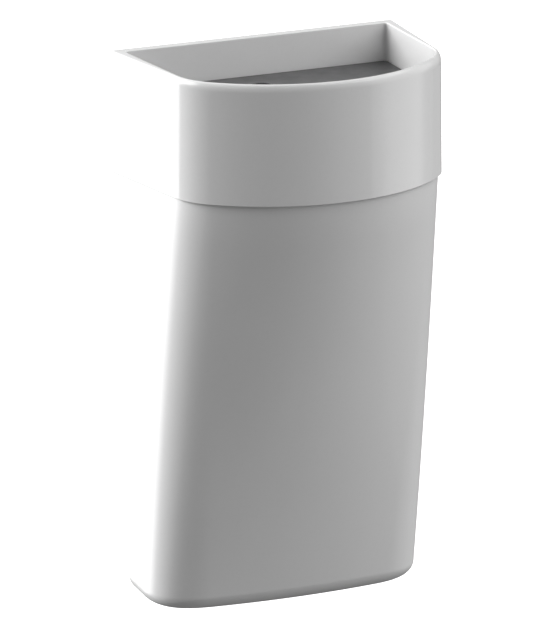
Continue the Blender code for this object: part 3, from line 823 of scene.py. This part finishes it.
# ---------------------------------------------------------------- flap
def flap():
    edge_round = 0.0008
    edge = mouth_plan(FLAP_SIDE_GAP, FLAP_AXIS_Y)
    inner = inset(edge, FLAP_LIP, FLAP_AXIS_Y - FLAP_BARREL_RADIUS)
    underside = FLAP_TOP - FLAP_SKIN
    foot = FLAP_TOP - FLAP_LIP_DEPTH
    fillet = 0.0010
    rings = []
    for angle in quarter(5):
        rings.append((inset(inner, fillet * (1 - sin(angle)), inner.back_y),
                      underside - fillet * (1 - cos(angle))))
    rings += [(inner, foot + 0.0003), (inset(inner, -0.0003, inner.back_y), foot)]
    rings += [(inset(edge, 0.0004, edge.back_y), foot), (edge, foot + 0.0004)]
    for angle in quarter(6):
        rings.append((inset(edge, edge_round * (1 - cos(angle)), edge.back_y),
                      FLAP_TOP - edge_round * (1 - sin(angle))))
    plate = mesh_object("flap_plate_fine", loft([(plan_outline(plan), height) for plan, height in rings]))

    axis = level(FLAP_AXIS_HEIGHT)
    half = FLAP_BARREL_HALF
    end = 0.0004
    barrel = revolve([(0.0, -half), (FLAP_BARREL_RADIUS - end, -half), (FLAP_BARREL_RADIUS, -half + end),
                      (FLAP_BARREL_RADIUS, half - end), (FLAP_BARREL_RADIUS - end, half), (0.0, half)])
    carve(plate, [moved(barrel, along_x(0.0, FLAP_AXIS_Y, axis))], "UNION")

    flare = 0.0008
    radius = FLAP_HOLE_RADIUS
    rim = [(radius + flare * (1 - cos(angle)), -flare * (1 - sin(angle))) for angle in quarter(6)]
    profile = [(0.0, -0.01), (radius, -0.01)] + rim + [(radius + flare, 0.01), (0.0, 0.01)]
    hole = moved(revolve(profile, 96), Matrix.Translation((*FLAP_HOLE_CENTRE, level(FLAP_TOP))))
    bores = []
    for side in (-1, 1):
        middle = side * (PIN_START + PIN_BORE_LENGTH / 2)
        bores.append(moved(plug(PIN_RADIUS + GAP, PIN_BORE_LENGTH), along_x(middle, FLAP_AXIS_Y, axis)))
    carve(plate, [hole] + bores)
    show(plate, "flap", ["flap_plate"], DARK_GREY)


# ---------------------------------------------------------------- build
tub()
for rivet_node in HANGER_RIVETS + CLIP_RIVETS:
    rivet(rivet_node)
hanger_plate()
wall_plate()
bag_ring()
ring_clip("ring_clip_left")
ring_clip("ring_clip_right")
collar()
flap()

CARRIED_OVER = {
    "flap_pin": STAINLESS,
    "flap_bush": NYLON,
    "flap_buffer": RUBBER,
}
for node_name, node_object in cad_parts.items():
    for prefix, finish in CARRIED_OVER.items():
        if node_name.startswith(prefix):
            for material_slot in node_object.material_slots:
                material_slot.material = finish


# ---------------------------------------------------------------- stage, light and camera
def direction(azimuth, elevation):
    """From the bin towards azimuth 0 = front, positive to +X, and elevation above the horizon, in degrees."""
    a, e = radians(azimuth), radians(elevation)
    return Vector((sin(a) * cos(e), -cos(a) * cos(e), sin(e)))


def floor():
    shape = bmesh.new()
    bmesh.ops.create_grid(shape, x_segments=2, y_segments=2, size=60.0)
    ground = mesh_object("floor", shape)
    ground.location = (0.0, 0.0, level(0.0) - FLOOR_DROP)
    surface = Surface("floor_pale", (0.90, 0.90, 0.90), 0.60)
    pale = surface.mix(surface.noise(0.8, 2.0), (0.895, 0.895, 0.895), (0.905, 0.905, 0.905))
    surface.set("Base Color", pale)
    surface.shader.inputs["Emission Color"].default_value = (1.0, 1.0, 1.0, 1.0)
    surface.shader.inputs["Emission Strength"].default_value = FLOOR_GLOW
    clear = surface.node("ShaderNodeBsdfTransparent")
    from_below = surface.node("ShaderNodeMixShader")
    surface.link(surface.node("ShaderNodeNewGeometry").outputs["Backfacing"], from_below.inputs["Fac"])
    surface.link(surface.shader.outputs["BSDF"], from_below.inputs[1])
    surface.link(clear.outputs["BSDF"], from_below.inputs[2])
    surface.link(from_below.outputs["Shader"], surface.tree.nodes["Material Output"].inputs["Surface"])
    ground.data.materials.append(surface.done())
    ground.visible_diffuse = False
    ground.visible_glossy = False


# name, azimuth, elevation, width of the source (all in degrees), strength
SUNS = [
    ("key_left", -138, 12, 40, 2.00),
    ("top_left", -112, 28, 40, 2.15),
    ("rim_left", -148, -10, 40, 1.80),
    ("behind", 180, 40, 60, 0.70),
    ("fill_right", 55, 45, 60, 1.75),
    ("side_right", 72, 10, 60, 0.95),
    ("below", 10, -60, 90, 0.35),
]
AMBIENT = 0.158
BACKDROP = 1.0
FLOOR_GLOW = 0.5
FLOOR_DROP = 0.45

CAMERA_AZIMUTH = -25.33
CAMERA_ELEVATION = 15.43
CAMERA_DISTANCE = 9.0
CAMERA_TARGET = Vector((-0.0155, -0.10, -0.0592))
FOCAL_LENGTH = 489.8


def lights():
    for name, azimuth, elevation, width, strength in SUNS:
        lamp = bpy.data.lights.new(name, "SUN")
        lamp.energy = strength
        lamp.angle = radians(width)
        placed = bpy.data.objects.new(name, lamp)
        placed.rotation_mode = "QUATERNION"
        placed.rotation_quaternion = direction(azimuth, elevation).to_track_quat("Z", "Y")
        bpy.context.scene.collection.objects.link(placed)
    world = bpy.data.worlds.new("studio")
    bpy.context.scene.world = world
    world.use_nodes = True
    background = world.node_tree.nodes["Background"]
    background.inputs["Color"].default_value = (1.0, 1.0, 1.0, 1.0)
    seen = world.node_tree.nodes.new("ShaderNodeMapRange")
    seen.inputs["To Min"].default_value = AMBIENT
    seen.inputs["To Max"].default_value = BACKDROP
    path = world.node_tree.nodes.new("ShaderNodeLightPath")
    world.node_tree.links.new(path.outputs["Is Camera Ray"], seen.inputs["Value"])
    world.node_tree.links.new(seen.outputs["Result"], background.inputs["Strength"])


def camera():
    lens = bpy.data.cameras.new("camera")
    lens.lens = FOCAL_LENGTH
    lens.sensor_width = 36.0
    lens.clip_start = 0.5
    lens.clip_end = 200.0
    placed = bpy.data.objects.new("camera", lens)
    away = direction(CAMERA_AZIMUTH, CAMERA_ELEVATION)
    placed.location = CAMERA_TARGET + away * CAMERA_DISTANCE
    placed.rotation_mode = "QUATERNION"
    placed.rotation_quaternion = away.to_track_quat("Z", "Y")
    bpy.context.scene.collection.objects.link(placed)
    bpy.context.scene.camera = placed


floor()
lights()
camera()
bpy.context.scene.view_settings.view_transform = "Standard"
bpy.context.view_layer.update()
